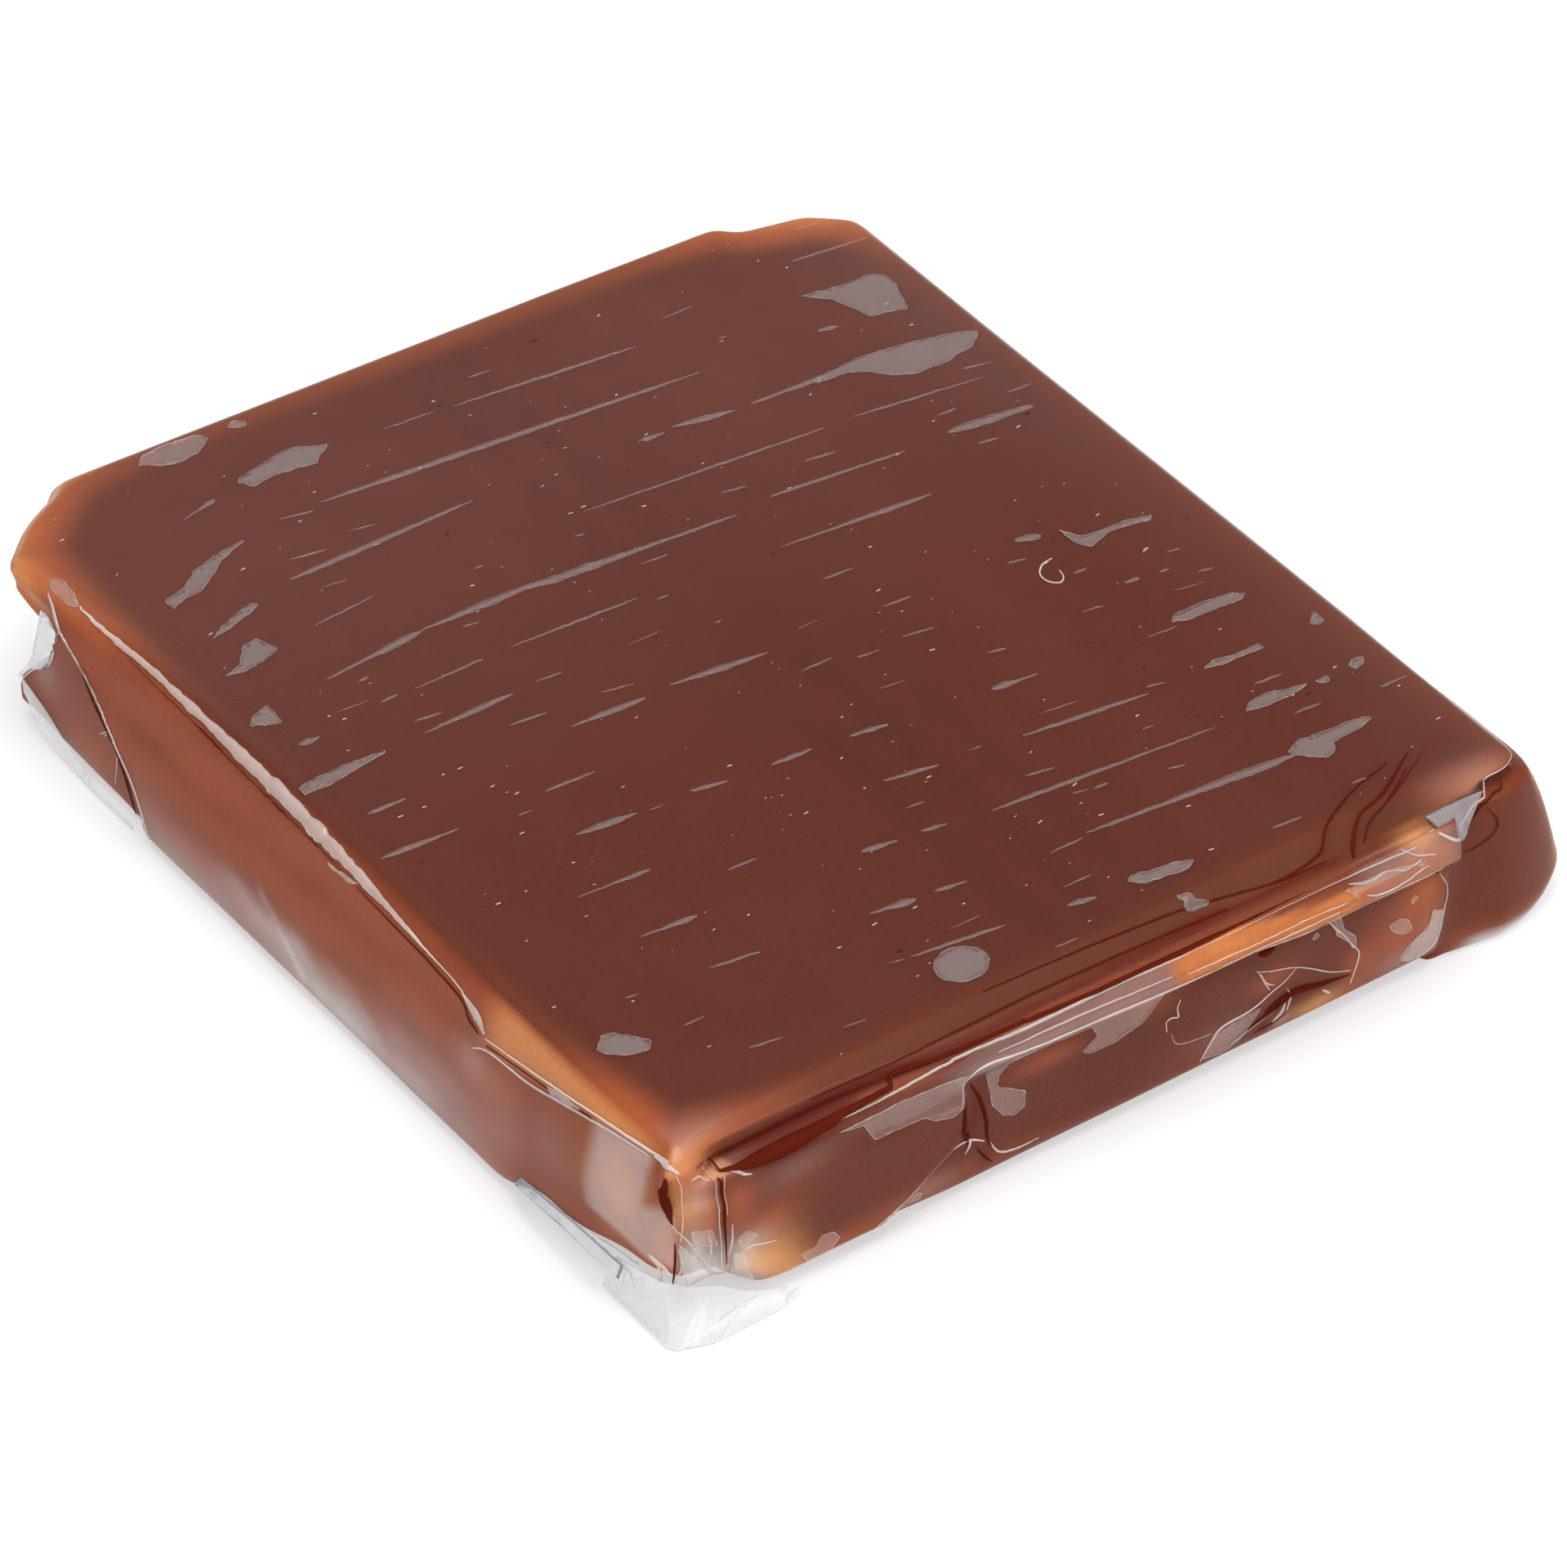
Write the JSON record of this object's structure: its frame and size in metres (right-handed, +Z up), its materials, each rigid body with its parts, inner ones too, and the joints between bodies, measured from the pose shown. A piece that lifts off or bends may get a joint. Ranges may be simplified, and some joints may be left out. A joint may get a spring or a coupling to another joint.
{
  "type": "wrapped chocolate caramel",
  "caption": "Flat, nearly square slab of chocolate caramel in a tight clear film wrapper with folded ends, pleats and loose film edges.",
  "frame": {"origin": "middle of the object's box in plan, on the surface that it lies on", "axes": "+Z up out of the top face; X runs along the folded ends, Y along the plain sides; the folded end with the ledge faces -Y and the loose film fringe is at the -X -Y corner"},
  "size_m": [0.04, 0.045, 0.0076],
  "materials": {
    "caramel": "dark red-brown chocolate caramel, amber where it is thin, wet-looking under the film",
    "film": "clear glossy wrapping film with creases"
  },
  "bodies": {
    "root": {"wrapped_caramel": "caramel"}
  },
  "joints": []
}
